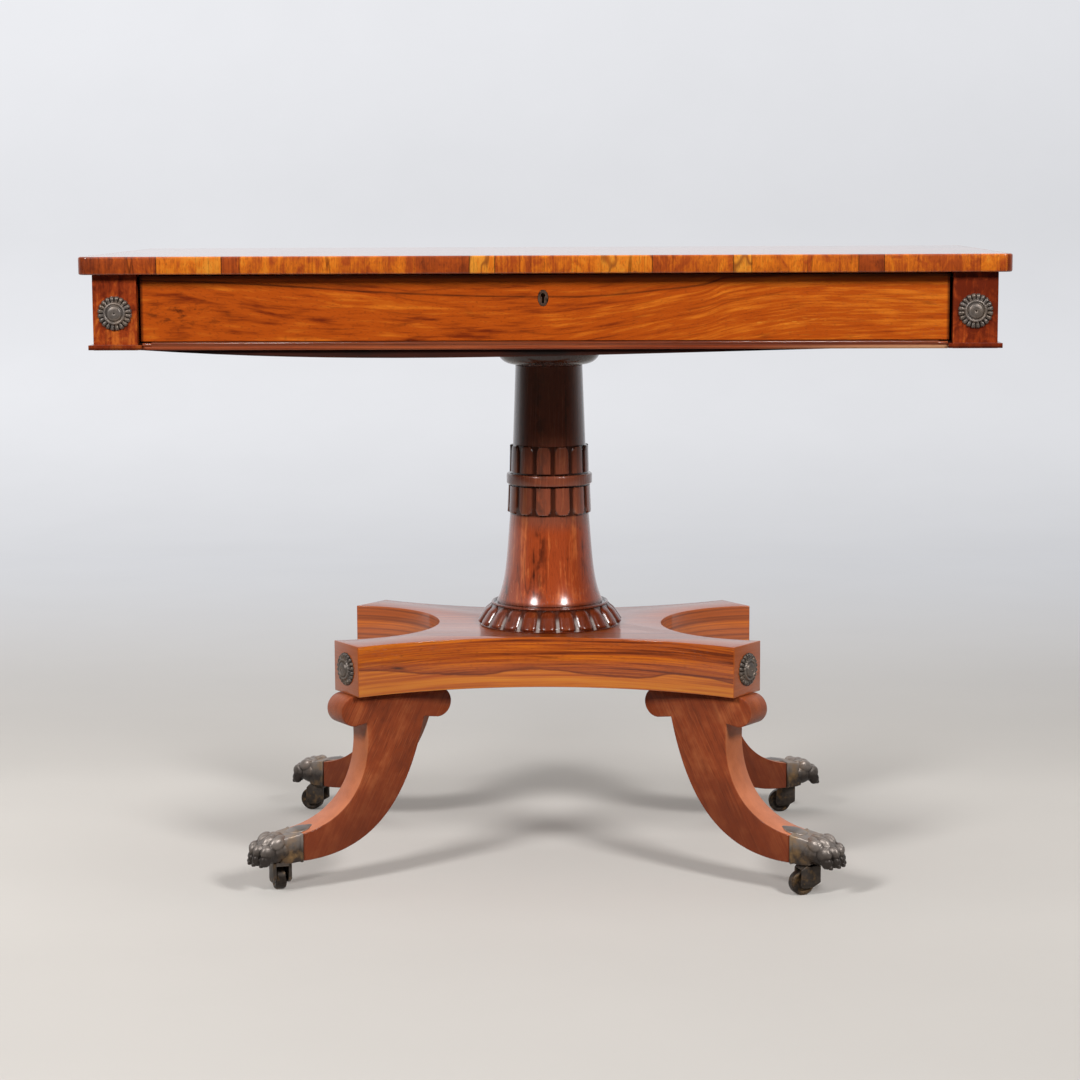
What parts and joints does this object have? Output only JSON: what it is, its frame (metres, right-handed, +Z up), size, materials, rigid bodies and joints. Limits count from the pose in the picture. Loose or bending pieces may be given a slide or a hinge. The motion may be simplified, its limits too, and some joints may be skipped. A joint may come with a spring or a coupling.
{
  "type": "pedestal table",
  "caption": "Rectangular rosewood pedestal table with a frieze drawer, turned column, hollow-sided platform, sabre legs, brass lion paw caps and casters.",
  "frame": {"origin": "on the floor under the middle of the table top", "axes": "+X to the right along the long side, -Y towards the person who opens the drawer, +Z up"},
  "size_m": [1.0352, 0.474, 0.73],
  "materials": {
    "rosewood_veneer": "French polished, strongly figured rosewood veneer",
    "rosewood_banding": "French polished crossbanding in short pieces of varied tone",
    "rosewood_solid": "French polished, deep red-brown",
    "mahogany_lining": "waxed lightly, matte",
    "pine_carcase": "bare, dry",
    "patinated_brass": "cast, dark patina worn to dull gold and grey on the high places",
    "lock_brass": "dull, lightly tarnished",
    "bolt_iron": "bare iron, dull"
  },
  "bodies": {
    "table": {"top_panel": "rosewood_veneer", "end_rail_left": "rosewood_veneer", "end_rail_right": "rosewood_veneer", "rear_rail": "rosewood_veneer", "platform": "rosewood_veneer", "corner_post_front_left": "rosewood_veneer", "corner_post_front_right": "rosewood_veneer", "corner_post_rear_left": "rosewood_veneer", "corner_post_rear_right": "rosewood_veneer", "top_edge_banding": "rosewood_banding", "front_rail": "rosewood_solid", "front_moulding": "rosewood_solid", "rear_moulding": "rosewood_solid", "left_moulding": "rosewood_solid", "right_moulding": "rosewood_solid", "column_cap": "rosewood_solid", "column_shaft": "rosewood_solid", "column_base_ring": "rosewood_solid", "leg_front_left": "rosewood_solid", "leg_front_right": "rosewood_solid", "leg_rear_left": "rosewood_solid", "leg_rear_right": "rosewood_solid", "column_wedge_upper": "mahogany_lining", "column_wedge_lower": "mahogany_lining", "drawer_runner_left": "pine_carcase", "drawer_runner_right": "pine_carcase", "column_bearer": "pine_carcase", "paw_cap_front_left": "patinated_brass", "rosette_front_left_post": "patinated_brass", "rosette_front_left_platform": "patinated_brass", "paw_cap_front_right": "patinated_brass", "rosette_front_right_post": "patinated_brass", "rosette_front_right_platform": "patinated_brass", "paw_cap_rear_left": "patinated_brass", "rosette_rear_left_post": "patinated_brass", "rosette_rear_left_platform": "patinated_brass", "paw_cap_rear_right": "patinated_brass", "rosette_rear_right_post": "patinated_brass", "rosette_rear_right_platform": "patinated_brass"},
    "drawer": {"drawer_front": "rosewood_veneer", "drawer_side_left": "mahogany_lining", "drawer_side_right": "mahogany_lining", "drawer_back": "mahogany_lining", "drawer_bottom": "mahogany_lining", "keyhole_escutcheon": "lock_brass", "lock_case": "lock_brass"},
    "lock_bolt": {"lock_bolt": "bolt_iron"},
    "caster_front_left": {"caster_fork_front_left": "patinated_brass"},
    "wheel_front_left": {"caster_wheel_front_left": "patinated_brass"},
    "caster_front_right": {"caster_fork_front_right": "patinated_brass"},
    "wheel_front_right": {"caster_wheel_front_right": "patinated_brass"},
    "caster_rear_left": {"caster_fork_rear_left": "patinated_brass"},
    "wheel_rear_left": {"caster_wheel_rear_left": "patinated_brass"},
    "caster_rear_right": {"caster_fork_rear_right": "patinated_brass"},
    "wheel_rear_right": {"caster_wheel_rear_right": "patinated_brass"}
  },
  "joints": [
    {"name": "drawer_slide", "type": "slide", "parent": "table", "child": "drawer", "axis": [0, -1, 0], "range_m": [0, 0.27]},
    {"name": "bolt_throw", "type": "slide", "parent": "drawer", "child": "lock_bolt", "axis": [0, 0, 1], "range_m": [0, 0.008]},
    {"name": "caster_swivel_front_left", "type": "hinge", "parent": "table", "child": "caster_front_left", "pos_m": [-0.3052, -0.20201, 0.03], "axis": [0, 0, 1], "continuous": true},
    {"name": "wheel_roll_front_left", "type": "hinge", "parent": "caster_front_left", "child": "wheel_front_left", "pos_m": [-0.30965, -0.18979, 0.0143], "axis": [-0.9397, -0.342, 0], "continuous": true},
    {"name": "caster_swivel_front_right", "type": "hinge", "parent": "table", "child": "caster_front_right", "pos_m": [0.3052, -0.20201, 0.03], "axis": [0, 0, 1], "continuous": true},
    {"name": "wheel_roll_front_right", "type": "hinge", "parent": "caster_front_right", "child": "wheel_front_right", "pos_m": [0.29299, -0.20645, 0.0143], "axis": [0.342, -0.9397, 0], "continuous": true},
    {"name": "caster_swivel_rear_left", "type": "hinge", "parent": "table", "child": "caster_rear_left", "pos_m": [-0.3052, 0.20201, 0.03], "axis": [0, 0, 1], "continuous": true},
    {"name": "wheel_roll_rear_left", "type": "hinge", "parent": "caster_rear_left", "child": "wheel_rear_left", "pos_m": [-0.31757, 0.20603, 0.0143], "axis": [-0.309, -0.9511, 0], "continuous": true},
    {"name": "caster_swivel_rear_right", "type": "hinge", "parent": "table", "child": "caster_rear_right", "pos_m": [0.3052, 0.20201, 0.03], "axis": [0, 0, 1], "continuous": true},
    {"name": "wheel_roll_rear_right", "type": "hinge", "parent": "caster_rear_right", "child": "wheel_rear_right", "pos_m": [0.2922, 0.20201, 0.0143], "axis": [0, -1, 0], "continuous": true}
  ]
}
